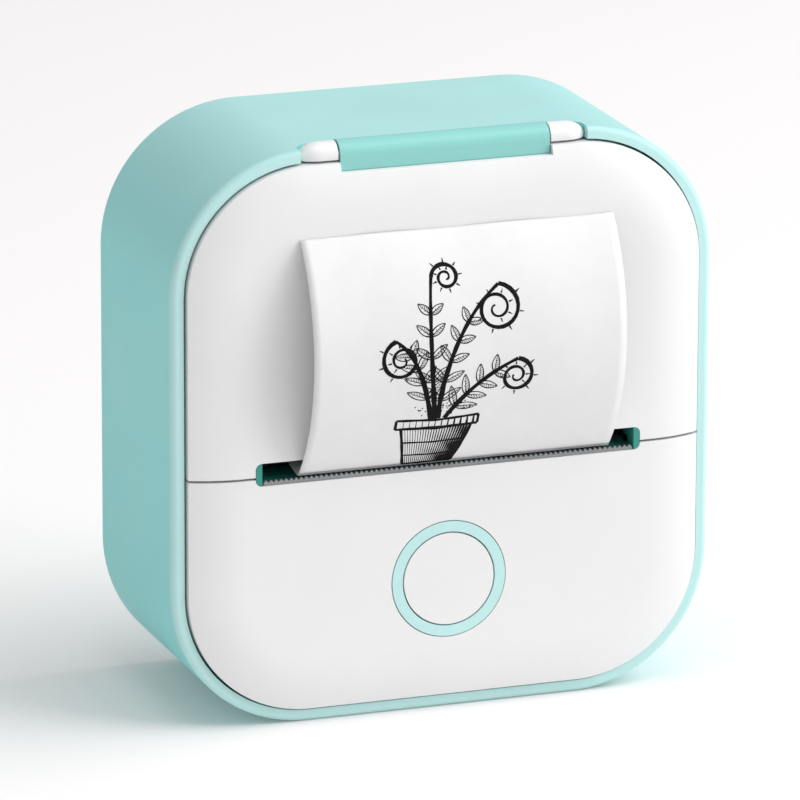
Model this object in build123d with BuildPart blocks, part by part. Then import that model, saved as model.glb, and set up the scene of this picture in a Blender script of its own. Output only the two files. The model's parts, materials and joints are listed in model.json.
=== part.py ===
from build123d import *
import math
import os

# Pocket thermal printer. A mint housing stands on its lower edge. Its white crowned front is
# split by a seam into a cover, hinged at the top, and a fixed panel with a round button.
# Lengths are in millimetres. X runs to the right seen from the front, Z up from the floor.
# Depths are measured backwards from the plane of the housing's front rim.

# Housing
WIDTH = 83.0
HEIGHT = 86.0
DEPTH = 34.4
CORNER = 20.7
RIM = 1.8
WALL = 2.6
RIM_ROUND = 0.9
BACK_ROUND = 1.2
LEDGE_DEPTH = 4.6
BACK_PLATE = 2.0
MID_Z = HEIGHT / 2

# Crowned front
FRONT_GAP = 0.35
CROWN = 2.5
CROWN_DROP = 1.8
CROWN_REACH = 8.0
SHELL = 1.8
SKIRT_DEPTH = 3.4
FRONT_WIDTH = WIDTH - 2 * (RIM + FRONT_GAP)
FRONT_HEIGHT = HEIGHT - 2 * (RIM + FRONT_GAP)
FRONT_CORNER = CORNER - RIM - FRONT_GAP
PANEL_TOP = 38.25
COVER_BOTTOM = 38.6

# Slot between cover and panel
SLOT_HALF = 29.7
SLOT_TOP = 40.65
SLOT_BOTTOM = 37.25
SLOT_CORNER = 0.95
LINING = 1.0
LINING_FIT = 0.06
TOOTH_TIP = 38.1
TOOTH_HEIGHT = 0.4
TOOTH_PITCH = 0.77
BLADE_BACK = -1.95
BLADE_THICK = 0.5

# Hinge of the cover
HINGE_DEPTH = 0.7
HINGE_Z = 85.0
BARREL = (1.9, 84.65)
BARREL_R = 2.1
BARREL_LOW = BARREL[1] - BARREL_R
BARREL_HALF = 16.05
CAP_R = 2.0
CAP_START = 16.3
CAP_STRAIGHT = 2.4
CAP_DOME = 3.3
CAP_FIT = 0.02
SEAT_REACH = 5.0
SEAT_STEP = 15
PIN_R = 0.5
RUNNING_FIT = 0.05

# Button
BUTTON_Z = 20.4
RING_R = 8.75
RING_INNER = 7.15
RING_FLANGE = 10.2
BUTTON_R = 6.95

# Paper
PAPER = 0.2
PAPER_WIDTH = 48.0
PAPER_X = 1.0
STRIP_START = (-1.85, 38.35)
STRIP_END = (-2.75, 73.6)
STRIP_BOW = 6.6
EXIT_ANGLE = -80.0
WEB_BEND = 0.35

# Paper roll and its bin
ROLL_R = 12.6
CORE_R = 6.0
CORE_WALL = 0.9
ROLL = (17.0, 61.15)
BIN_CENTRE = (17.0, 62.0)
BIN_R = 14.0
BIN_WALL = 1.2
BIN_WIDTH = 51.0
BIN_TOP = 80.0
BIN_FRONT = 4.6
TRAY_FRONT = 22.9
TRAY_PLATE = 1.2

# Platen and print head
PLATEN = (6.0, 43.7)
PLATEN_R = 4.0
SHAFT_R = 1.5
RUBBER_LENGTH = 50.0
NIP_ANGLE = -35.0
HEAD_GAP = 0.45

# Gears
MODULE = 0.4
PRESSURE = math.radians(20)
ADDENDUM = 0.8
DEDENDUM = 1.1
BACKLASH = 0.05
CENTRE_SLACK = 0.03
PLATEN_TEETH = 18
IDLER_TEETH = 30
REDUCTION_SMALL = 14
REDUCTION_LARGE = 36
PINION_TEETH = 12
AXLE_R = 0.75
GEAR_X = 31.8
GEAR_FACE = 2.4
SECOND_X = 34.4
SECOND_FACE = 1.8
PLATE_X = 29.8
PLATE_THICK = 1.2

# Screws
SCREW_R = 0.8
SCREW_HEAD_R = 1.6
SCREW_HEAD = 1.0

strip_front = (STRIP_START[0] + STRIP_END[0]) / 2 - STRIP_BOW - PAPER / 2
RIM_Y = -(strip_front + DEPTH) / 2


def front_plane(depth):
    """Plane seen from the front: sketches in X and Z, extrusions run forwards."""
    return Plane(origin=(0, RIM_Y + depth, 0), x_dir=(1, 0, 0), z_dir=(0, -1, 0))


def side_plane(x):
    """Plane seen from the right: sketches in depth and Z, extrusions run to the right."""
    return Plane(origin=(x, RIM_Y, 0), x_dir=(0, 1, 0), z_dir=(1, 0, 0))


def axis_at(point):
    """Axis along X through a point given by depth and height."""
    return Axis((0, RIM_Y + point[0], point[1]), (1, 0, 0))


def around(point, radius, degrees):
    """Point on a circle in the side view, counted from straight back, upwards."""
    angle = math.radians(degrees)
    return (point[0] + radius * math.cos(angle), point[1] + radius * math.sin(angle))


def save(builder, name):
    """Label the finished piece and write it under its own name."""
    builder.part.label = name
    export_step(builder.part, f"parts/{name}.step")


def crowned_block(inset, back):
    """The front's outline taken in by inset on every side, with its edges falling away."""
    face = CROWN - inset
    radius = (CROWN_REACH**2 + CROWN_DROP**2) / (2 * CROWN_DROP)
    half_turn = math.asin(CROWN_REACH / radius) / 2
    middle = (CROWN_REACH - radius * math.sin(half_turn), radius - radius * math.cos(half_turn))
    with BuildPart() as block:
        with BuildSketch(front_plane(back)):
            with Locations((0, MID_Z)):
                RectangleRounded(FRONT_WIDTH - 2 * inset, FRONT_HEIGHT - 2 * inset, FRONT_CORNER - inset)
        extrude(amount=back + face)
        outline = block.faces().sort_by(Axis.Y)[0].outer_wire()
        side_x = FRONT_WIDTH / 2 - inset
        start = Plane(origin=(side_x, RIM_Y - face, MID_Z), x_dir=(-1, 0, 0), z_dir=(0, 0, 1))
        with BuildSketch(start):
            with BuildLine():
                fall = ThreePointArc((CROWN_REACH, 0), (middle[0], -middle[1]), (0, -CROWN_DROP))
                Polyline(fall @ 1, (-1, -CROWN_DROP), (-1, 1), (CROWN_REACH, 1), fall @ 0)
            make_face()
        sweep(path=outline, mode=Mode.SUBTRACT)
    return block.part


def screws(name, places, depth, length, backwards, head=True):
    """Pan-head screws with a cross recess, one at each place, heads at the given depth."""
    sign = -1 if backwards else 1
    with BuildPart() as group:
        with BuildSketch(front_plane(depth)):
            with Locations(*places):
                Circle(SCREW_R)
        extrude(amount=sign * length)
        with BuildSketch(front_plane(depth)):
            with Locations(*places):
                Circle(SCREW_HEAD_R)
        extrude(amount=-sign * SCREW_HEAD)
        top = depth + sign * SCREW_HEAD
        with BuildSketch(front_plane(top)):
            with Locations(*places):
                Rectangle(1.8, 0.4)
                Rectangle(0.4, 1.8)
        extrude(amount=sign * 0.5, mode=Mode.SUBTRACT)
    save(group, name)


def involute(angle):
    return math.tan(angle) - angle


def gear_outline(teeth, first_tooth):
    """Corner points of a spur gear's outline, with one tooth centred on first_tooth radians."""
    pitch_r = MODULE * teeth / 2
    base_r = pitch_r * math.cos(PRESSURE)
    tip_r = pitch_r + ADDENDUM * MODULE
    root_r = pitch_r - DEDENDUM * MODULE
    half_tooth = math.pi / (2 * teeth) - BACKLASH / (2 * pitch_r)
    flank = []
    for radius in (root_r, max(base_r, root_r + 0.1), pitch_r, tip_r):
        rolled = math.acos(min(1.0, base_r / radius))
        flank.append((radius, half_tooth + involute(PRESSURE) - involute(rolled)))
    points = []
    for tooth in range(teeth):
        centre = first_tooth + 2 * math.pi * tooth / teeth
        for radius, half in flank:
            points.append((radius * math.cos(centre - half), radius * math.sin(centre - half)))
        for radius, half in reversed(flank):
            points.append((radius * math.cos(centre + half), radius * math.sin(centre + half)))
    return points


def gear_face(x, place, teeth, first_tooth, bore):
    """Face of a spur gear with its bore, at x on the axis at place."""
    with BuildSketch(side_plane(x)) as face:
        with Locations(place):
            Polygon(*gear_outline(teeth, first_tooth), align=None)
            Circle(bore, mode=Mode.SUBTRACT)
    return face.sketch


def meshed(place, other, teeth, other_teeth, first_tooth):
    """Angle of the other gear's tooth that lets it mesh with the gear at place."""
    line = math.atan2(other[1] - place[1], other[0] - place[0])
    return line + math.pi + (line - first_tooth) * teeth / other_teeth + math.pi / other_teeth


def apart(teeth_a, teeth_b):
    """Distance between the axes of two meshing gears."""
    return MODULE * (teeth_a + teeth_b) / 2 + CENTRE_SLACK


os.makedirs("parts", exist_ok=True)

# Directions at the nip: across the paper towards the head, and along the paper upwards
across = around((0, 0), 1, NIP_ANGLE)
along = around((0, 0), 1, NIP_ANGLE + 90)


def head_point(out, up):
    """Point in the side view, out from the platen's axis towards the head and up along it."""
    return (PLATEN[0] + out * across[0] + up * along[0], PLATEN[1] + out * across[1] + up * along[1])


# Housing: rounded square band with a rim at the front, a ledge behind it and bosses inside
BOSS_X = 32.4
BOSS_LOW = 9.1
BOSS_PLACES = [(x, z) for x in (-BOSS_X, BOSS_X) for z in (BOSS_LOW, HEIGHT - BOSS_LOW)]
TAB_PLACES = [(-30.0, 9.5), (30.0, 9.5)]
TAB_FRONT = 6.0
TAB_THICK = 1.5
USB_DEPTH = 7.03
USB_Z = 21.0
LIGHT = (6.2, 29.0)
INNER_BACK = DEPTH - BACK_PLATE


def cap_face(side, radius, degrees, whole):
    """Outline of a hinge cap, or its half, on the plane through its axis that faces degrees."""
    facing = around((0, 0), 1, degrees)
    middle = Plane(origin=(0, RIM_Y + BARREL[0], BARREL[1]), x_dir=(side, 0, 0), z_dir=(0, *facing))
    with BuildSketch(middle) as face:
        with BuildLine():
            Line((CAP_START, 0), (CAP_START, radius))
            Line((CAP_START, radius), (CAP_START + CAP_STRAIGHT, radius))
            EllipticalCenterArc((CAP_START + CAP_STRAIGHT, 0), CAP_DOME, radius, arc_size=90)
            Line((CAP_START + CAP_STRAIGHT + CAP_DOME, 0), (CAP_START, 0))
        make_face()
        if whole:
            mirror(about=Plane.XZ)
    return face.sketch


def hinge_cap(side, radius, name=None):
    """Half-domed cap on the hinge's axis: side is 1 for the right end and -1 for the left."""
    with BuildPart() as cap:
        revolve(cap_face(side, radius, 90, whole=False), axis=axis_at(BARREL))
        if name:
            with BuildSketch(side_plane(side * (CAP_START - 1))):
                with Locations((HINGE_DEPTH, HINGE_Z)):
                    Circle(PIN_R)
            extrude(amount=side * 4.1, mode=Mode.SUBTRACT)
            with BuildSketch(Plane.XY.offset(HEIGHT - RIM)):
                with Locations((side * (CAP_START + 3), RIM_Y + BARREL[0])):
                    Rectangle(12, 8)
            extrude(amount=-4, mode=Mode.SUBTRACT)
            save(cap, name)
    return cap.part


def cap_seat(side):
    """Room of a hinge cap, open to the front, to the top and between."""
    with BuildPart() as seat:
        add(hinge_cap(side, CAP_R + CAP_FIT))
        for degrees in range(90, 181, SEAT_STEP):
            extrude(cap_face(side, CAP_R + CAP_FIT, degrees, whole=True), amount=SEAT_REACH)
    return seat.part


cap_seats = [cap_seat(side) for side in (-1, 1)]

with BuildPart() as housing:
    with BuildSketch(front_plane(DEPTH)):
        with Locations((0, MID_Z)):
            RectangleRounded(WIDTH, HEIGHT, CORNER)
    extrude(amount=DEPTH)
    fillet(housing.edges().group_by(Axis.Y)[0], RIM_ROUND)
    fillet(housing.edges().group_by(Axis.Y)[-1], BACK_ROUND)
    for deep, length, inset in ((LEDGE_DEPTH, LEDGE_DEPTH, RIM), (INNER_BACK, INNER_BACK, WALL),
                                (DEPTH, BACK_PLATE, RIM)):
        with BuildSketch(front_plane(deep)):
            with Locations((0, MID_Z)):
                RectangleRounded(WIDTH - 2 * inset, HEIGHT - 2 * inset, CORNER - inset)
        extrude(amount=length, mode=Mode.SUBTRACT)
    with BuildSketch(front_plane(INNER_BACK)):
        with Locations(*BOSS_PLACES):
            Circle(2.8)
    extrude(amount=INNER_BACK - TRAY_FRONT - TRAY_PLATE)
    with BuildSketch(front_plane(TAB_FRONT + TAB_THICK)):
        with Locations(*TAB_PLACES):
            Circle(5.0)
        with Locations((0, MID_Z)):
            RectangleRounded(WIDTH - 2, HEIGHT - 2, CORNER - 1, mode=Mode.INTERSECT)
    extrude(amount=TAB_THICK)
    with BuildSketch(front_plane(INNER_BACK)):
        with Locations(*BOSS_PLACES):
            Circle(SCREW_R)
    extrude(amount=INNER_BACK - TRAY_FRONT, mode=Mode.SUBTRACT)
    with BuildSketch(front_plane(TAB_FRONT + TAB_THICK)):
        with Locations(*TAB_PLACES):
            Circle(SCREW_R)
    extrude(amount=TAB_THICK, mode=Mode.SUBTRACT)
    with BuildSketch(side_plane(WIDTH / 2 - WALL - 1)):
        with Locations((USB_DEPTH, USB_Z)):
            SlotOverall(9.4, 3.7, rotation=90)
        with Locations(LIGHT):
            Circle(0.9)
    extrude(amount=WALL + 2, mode=Mode.SUBTRACT)
    with BuildSketch(side_plane(-CAP_START)):
        with Locations(BARREL):
            Circle(BARREL_R + 0.3)
    extrude(amount=2 * CAP_START, mode=Mode.SUBTRACT)
    add(cap_seats, mode=Mode.SUBTRACT)
save(housing, "housing")

hinge_cap(-1, CAP_R, "hinge_cap_left")
hinge_cap(1, CAP_R, "hinge_cap_right")

with BuildPart() as hinge_pin:
    with BuildSketch(side_plane(-CAP_START - 3)):
        with Locations((HINGE_DEPTH, HINGE_Z)):
            Circle(PIN_R)
    extrude(amount=2 * (CAP_START + 3))
save(hinge_pin, "hinge_pin")

with BuildPart() as back_cover:
    with BuildSketch(front_plane(DEPTH)):
        with Locations((0, MID_Z)):
            RectangleRounded(WIDTH - 2 * RIM - 0.24, HEIGHT - 2 * RIM - 0.24, CORNER - RIM - 0.12)
    extrude(amount=BACK_PLATE)
    fillet(back_cover.edges().group_by(Axis.Y)[-1], 0.4)
    with BuildSketch(front_plane(DEPTH)):
        with Locations(*BOSS_PLACES):
            Circle(SCREW_R)
    extrude(amount=BACK_PLATE, mode=Mode.SUBTRACT)
    with BuildSketch(front_plane(DEPTH)):
        with Locations(*BOSS_PLACES):
            Circle(SCREW_HEAD_R + 0.3)
    extrude(amount=1.2, mode=Mode.SUBTRACT)
save(back_cover, "back_cover")
screws("back_screws", BOSS_PLACES, DEPTH - 1.2, 4.4, backwards=False)

# White crowned front, cut by the seam into the fixed panel and the cover's shell
outer_front = crowned_block(0, SKIRT_DEPTH)
inner_front = crowned_block(SHELL, SKIRT_DEPTH + 1)

POST_PLACES = [(x, z) for x in (-25.0, 25.0) for z in (15.5, 30.5)]
BOARD_FRONT = 4.4
BOARD_THICK = 1.0
PANEL_BACK = SHELL - CROWN

with BuildPart() as front_panel:
    add(outer_front)
    add(inner_front, mode=Mode.SUBTRACT)
    with BuildSketch(front_plane(SKIRT_DEPTH)):
        with Locations((0, PANEL_TOP)):
            Rectangle(WIDTH, HEIGHT, align=(Align.CENTER, Align.MIN))
    extrude(amount=SKIRT_DEPTH + CROWN, mode=Mode.SUBTRACT)
    with BuildSketch(front_plane(PANEL_BACK + 1)):
        with Locations((0, SLOT_BOTTOM)):
            RectangleRounded(2 * SLOT_HALF, 4, SLOT_CORNER, align=(Align.CENTER, Align.MIN))
        with Locations((0, BUTTON_Z)):
            Circle(RING_R + 0.12)
    extrude(amount=CROWN + 2, mode=Mode.SUBTRACT)
    with BuildSketch(front_plane(PANEL_BACK + 2)):
        with Locations((0, BUTTON_Z)):
            Circle(RING_FLANGE + 0.1)
    extrude(amount=2.0, mode=Mode.SUBTRACT)
    with BuildSketch(front_plane(BOARD_FRONT)):
        with Locations(*POST_PLACES):
            Circle(2.0)
    extrude(amount=BOARD_FRONT - PANEL_BACK + 0.5)
    with BuildSketch(front_plane(TAB_FRONT)):
        with Locations(*TAB_PLACES):
            Circle(2.3)
    extrude(amount=TAB_FRONT + 0.6)
    with BuildSketch(front_plane(BOARD_FRONT)):
        with Locations(*POST_PLACES):
            Circle(SCREW_R)
    extrude(amount=4.0, mode=Mode.SUBTRACT)
    with BuildSketch(front_plane(TAB_FRONT)):
        with Locations(*TAB_PLACES):
            Circle(SCREW_R)
    extrude(amount=5.0, mode=Mode.SUBTRACT)
save(front_panel, "front_panel")
screws("panel_screws", TAB_PLACES, TAB_FRONT + TAB_THICK, 6.0, backwards=False)

FRAME_PLACES = [(x, z) for x in (-22.0, 22.0) for z in (51.0, 74.5)]
FRAME_FRONT = 0.6
FRAME_THICK = 1.4
FRAME_BACK = FRAME_FRONT + FRAME_THICK
FRAME_LOW = 41.0
FRAME_TOP = 78.4
NECK_FRONT = 0.8

with BuildPart() as cover_shell:
    add(outer_front)
    add(inner_front, mode=Mode.SUBTRACT)
    with BuildSketch(front_plane(SKIRT_DEPTH)):
        with Locations((0, COVER_BOTTOM)):
            Rectangle(WIDTH, HEIGHT, align=(Align.CENTER, Align.MAX))
    extrude(amount=SKIRT_DEPTH + CROWN, mode=Mode.SUBTRACT)
    with BuildSketch(front_plane(PANEL_BACK + 1)):
        with Locations((0, COVER_BOTTOM - SLOT_CORNER * 2)):
            RectangleRounded(2 * SLOT_HALF, SLOT_TOP - COVER_BOTTOM + SLOT_CORNER * 2, SLOT_CORNER,
                             align=(Align.CENTER, Align.MIN))
    extrude(amount=CROWN + 2, mode=Mode.SUBTRACT)
    with BuildSketch(front_plane(SKIRT_DEPTH)):
        with Locations((0, BARREL_LOW - 0.05)):
            Rectangle(2 * BARREL_HALF + 0.3, 4, align=(Align.CENTER, Align.MIN))
    extrude(amount=SKIRT_DEPTH + CROWN, mode=Mode.SUBTRACT)
    with BuildSketch(front_plane(SKIRT_DEPTH)):
        with Locations((0, FRAME_TOP - 1)):
            Rectangle(2 * BARREL_HALF, 8, align=(Align.CENTER, Align.MIN))
    extrude(amount=SKIRT_DEPTH - NECK_FRONT, mode=Mode.SUBTRACT)
    with BuildSketch(front_plane(FRAME_FRONT)):
        with Locations(*FRAME_PLACES):
            Circle(2.2)
    extrude(amount=FRAME_FRONT - PANEL_BACK + 0.4)
    with BuildSketch(front_plane(FRAME_FRONT)):
        with Locations(*FRAME_PLACES):
            Circle(SCREW_R)
    extrude(amount=2.0, mode=Mode.SUBTRACT)
save(cover_shell, "cover_shell")

# Frame of the cover: hinge barrel, backing plate, slot lining and the platen's two cheeks
CHEEK_START = 28.5
CHEEK_END = 31.0
BUSH_R = 2.6

with BuildPart() as cover_frame:
    with BuildSketch(side_plane(-BARREL_HALF)):
        with Locations(BARREL):
            Circle(BARREL_R)
        with Locations((BARREL[0] - BARREL_R, BARREL_LOW)):
            Rectangle(BARREL_R, BARREL_R, align=(Align.MIN, Align.MIN))
        Polygon((NECK_FRONT, FRAME_TOP - 1), (FRAME_BACK, FRAME_TOP - 1), (FRAME_BACK, BARREL_LOW + 1),
                (NECK_FRONT, BARREL_LOW + 1), align=None)
    extrude(amount=2 * BARREL_HALF)
    with BuildSketch(front_plane(FRAME_BACK)) as plate:
        with Locations((0, FRAME_LOW)):
            Rectangle(2 * CHEEK_END, FRAME_TOP - FRAME_LOW, align=(Align.CENTER, Align.MIN))
        fillet(plate.vertices().group_by(Axis.Y)[-1], 12.0)
        fillet(plate.vertices().group_by(Axis.Y)[0], 3.0)
    extrude(amount=FRAME_THICK)
    for side in (-1, 1):
        with BuildSketch(side_plane(side * CHEEK_START)):
            with Locations(PLATEN):
                Circle(3.4)
            Polygon((0.6, 51.0), (2.0, 51.0), (6.0, 47.1), (6.0, 40.4), (0.6, 40.4), align=None)
        extrude(amount=side * (CHEEK_END - CHEEK_START))
        with BuildSketch(front_plane(1.6)):
            with Locations((side * (SLOT_HALF - LINING), COVER_BOTTOM + 0.05)):
                Rectangle(LINING, 3.0, align=(Align.MIN if side > 0 else Align.MAX, Align.MIN))
        extrude(amount=1.6)
        with BuildSketch(front_plane(0)) as lining:
            with Locations((side * (SLOT_HALF - LINING), SLOT_BOTTOM + LINING_FIT)):
                Rectangle(LINING - LINING_FIT, SLOT_TOP - SLOT_BOTTOM - LINING_FIT,
                          align=(Align.MIN if side > 0 else Align.MAX, Align.MIN))
            fillet(lining.vertices().group_by(Axis.X)[-1 if side > 0 else 0], SLOT_CORNER - LINING_FIT)
        extrude(amount=CROWN)
    with BuildSketch(side_plane(-CHEEK_END - 1)):
        with Locations(PLATEN):
            Circle(BUSH_R)
    extrude(amount=2 * CHEEK_END + 2, mode=Mode.SUBTRACT)
    with BuildSketch(side_plane(-BARREL_HALF - 1)):
        with Locations((HINGE_DEPTH, HINGE_Z)):
            Circle(PIN_R + RUNNING_FIT)
    extrude(amount=2 * BARREL_HALF + 2, mode=Mode.SUBTRACT)
    with BuildSketch(front_plane(FRAME_BACK)):
        with Locations(*FRAME_PLACES):
            Circle(SCREW_R)
    extrude(amount=FRAME_THICK, mode=Mode.SUBTRACT)
save(cover_frame, "cover_frame")
screws("frame_screws", FRAME_PLACES, FRAME_BACK, 3.0, backwards=False)

# Platen: rubber on a steel shaft in two stepped bushes, with its gear outside the right cheek
BUSH_NOSE = 27.05
BUSH_NOSE_R = 2.2
PLATEN_GEAR_FACE = 2.8

for side, name in ((-1, "platen_bush_left"), (1, "platen_bush_right")):
    with BuildPart() as bush:
        for start, end, radius in ((BUSH_NOSE, CHEEK_START, BUSH_NOSE_R), (CHEEK_START, CHEEK_END, BUSH_R)):
            with BuildSketch(side_plane(side * start)):
                with Locations(PLATEN):
                    Circle(radius)
                    Circle(SHAFT_R + RUNNING_FIT, mode=Mode.SUBTRACT)
            extrude(amount=side * (end - start))
    save(bush, name)

with BuildPart() as platen_shaft:
    with BuildSketch(side_plane(-CHEEK_END - 1.4)):
        with Locations(PLATEN):
            Circle(SHAFT_R)
    extrude(amount=2 * CHEEK_END + 5.2)
    chamfer(platen_shaft.edges(), 0.2)
save(platen_shaft, "platen_shaft")

with BuildPart() as platen_rubber:
    with BuildSketch(side_plane(PAPER_X - RUBBER_LENGTH / 2)):
        with Locations(PLATEN):
            Circle(PLATEN_R)
            Circle(SHAFT_R, mode=Mode.SUBTRACT)
    extrude(amount=RUBBER_LENGTH)
save(platen_rubber, "platen_rubber")

with BuildPart() as platen_clip:
    with BuildSketch(side_plane(-CHEEK_END - 0.8)):
        with Locations(PLATEN):
            Circle(2.5)
            Circle(SHAFT_R, mode=Mode.SUBTRACT)
            with Locations((2, 0)):
                Rectangle(3, 1.6, mode=Mode.SUBTRACT)
    extrude(amount=0.5)
save(platen_clip, "platen_clip")

# Gear train: motor pinion, two-step reduction gear, idler and platen gear
hinge_to_platen = math.atan2(PLATEN[1] - HINGE_Z, PLATEN[0] - HINGE_DEPTH)
idler_line = math.degrees(hinge_to_platen) + 90
IDLER = around(PLATEN, apart(PLATEN_TEETH, IDLER_TEETH), idler_line)
REDUCTION = around(IDLER, apart(IDLER_TEETH, REDUCTION_SMALL), -76.0)
MOTOR = around(REDUCTION, apart(REDUCTION_LARGE, PINION_TEETH), -108.5)

platen_tooth = math.radians(idler_line)
idler_tooth = meshed(PLATEN, IDLER, PLATEN_TEETH, IDLER_TEETH, platen_tooth)
small_tooth = meshed(IDLER, REDUCTION, IDLER_TEETH, REDUCTION_SMALL, idler_tooth)
pinion_tooth = meshed(REDUCTION, MOTOR, REDUCTION_LARGE, PINION_TEETH, small_tooth)

with BuildPart() as platen_gear:
    extrude(gear_face(GEAR_X - 0.2, PLATEN, PLATEN_TEETH, platen_tooth, SHAFT_R), amount=PLATEN_GEAR_FACE)
save(platen_gear, "platen_gear")

with BuildPart() as idler_gear:
    extrude(gear_face(GEAR_X, IDLER, IDLER_TEETH, idler_tooth, AXLE_R + RUNNING_FIT), amount=GEAR_FACE)
    with BuildSketch(side_plane(PLATE_X + PLATE_THICK + 0.1)):
        with Locations(IDLER):
            Circle(1.6)
            Circle(AXLE_R + RUNNING_FIT, mode=Mode.SUBTRACT)
    extrude(amount=GEAR_X - PLATE_X - PLATE_THICK - 0.1)
    with BuildSketch(side_plane(GEAR_X)):
        with Locations(IDLER):
            with PolarLocations(3.4, 5):
                Circle(1.0)
    extrude(amount=GEAR_FACE, mode=Mode.SUBTRACT)
save(idler_gear, "idler_gear")

with BuildPart() as reduction_gear:
    for x, length, teeth in ((GEAR_X, SECOND_X - GEAR_X, REDUCTION_SMALL),
                             (SECOND_X, SECOND_FACE, REDUCTION_LARGE)):
        extrude(gear_face(x, REDUCTION, teeth, small_tooth, AXLE_R + RUNNING_FIT), amount=length)
    with BuildSketch(side_plane(SECOND_X)):
        with Locations(REDUCTION):
            with PolarLocations(4.9, 6):
                Circle(1.1)
    extrude(amount=SECOND_FACE, mode=Mode.SUBTRACT)
save(reduction_gear, "reduction_gear")

with BuildPart() as motor_pinion:
    extrude(gear_face(SECOND_X - 0.1, MOTOR, PINION_TEETH, pinion_tooth, AXLE_R), amount=SECOND_FACE + 0.6)
save(motor_pinion, "motor_pinion")

MOTOR_R = 7.8
MOTOR_LENGTH = 12.0
SHAFT_DEEP = 4.0
MOTOR_BOSS_R = 2.5
EAR_REACH = 9.8
EAR_ANGLE = 105.0
MOTOR_EARS = [around(MOTOR, EAR_REACH, angle) for angle in (EAR_ANGLE, EAR_ANGLE + 180)]

with BuildPart() as motor_shaft:
    with BuildSketch(side_plane(PLATE_X - SHAFT_DEEP)):
        with Locations(MOTOR):
            Circle(AXLE_R)
    extrude(amount=SHAFT_DEEP + SECOND_X + SECOND_FACE + 0.9 - PLATE_X)
save(motor_shaft, "motor_shaft")

with BuildPart() as motor_can:
    with BuildSketch(side_plane(PLATE_X - 0.6 - MOTOR_LENGTH)):
        with Locations(MOTOR):
            Circle(MOTOR_R)
    extrude(amount=MOTOR_LENGTH)
    fillet(motor_can.edges().sort_by(Axis.X)[0], 0.8)
    with BuildSketch(side_plane(PLATE_X - SHAFT_DEEP - 0.1)):
        with Locations(MOTOR):
            Circle(AXLE_R + RUNNING_FIT)
    extrude(amount=SHAFT_DEEP, mode=Mode.SUBTRACT)
save(motor_can, "motor_can")

with BuildPart() as motor_flange:
    with BuildSketch(side_plane(PLATE_X - 0.6)):
        with Locations(MOTOR):
            Circle(MOTOR_R)
            SlotCenterToCenter(2 * EAR_REACH, 4.6, rotation=EAR_ANGLE)
            Circle(AXLE_R + RUNNING_FIT, mode=Mode.SUBTRACT)
        with Locations(*MOTOR_EARS):
            Circle(SCREW_R, mode=Mode.SUBTRACT)
    extrude(amount=0.6)
save(motor_flange, "motor_flange")

with BuildPart() as motor_screws:
    with BuildSketch(side_plane(PLATE_X - 1.6)):
        with Locations(*MOTOR_EARS):
            Circle(1.5)
    extrude(amount=1.0)
    with BuildSketch(side_plane(PLATE_X - 0.6)):
        with Locations(*MOTOR_EARS):
            Circle(SCREW_R)
    extrude(amount=1.8)
save(motor_screws, "motor_screws")

with BuildPart() as gear_axles:
    for place, end in ((IDLER, GEAR_X + GEAR_FACE + 0.3), (REDUCTION, SECOND_X + SECOND_FACE + 0.8)):
        with BuildSketch(side_plane(PLATE_X)):
            with Locations(place):
                Circle(AXLE_R)
        extrude(amount=end - PLATE_X)
save(gear_axles, "gear_axles")

with BuildPart() as axle_clip:
    with BuildSketch(side_plane(SECOND_X + SECOND_FACE + 0.1)):
        with Locations(REDUCTION):
            Circle(1.6)
            Circle(AXLE_R, mode=Mode.SUBTRACT)
            with Locations((1.4, 0)):
                Rectangle(2, 0.9, mode=Mode.SUBTRACT)
    extrude(amount=0.4)
save(axle_clip, "axle_clip")

# Chassis: two arms with a saddle for the platen's bushes, a wall behind the head, the gear plate
ARM_START = 27.0
ARM_END = 28.2
WALL_OUT = 12.0
WALL_THICK = 1.2
HEAD_PIVOT = head_point(6.7, -3.5)
CHASSIS_PLACES = [(-20.0, 44.2), (22.0, 44.2), (27.4, 16.6)]
FLANGE_FRONT = 20.0
SADDLE_R = BUSH_NOSE_R + 0.25

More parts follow.
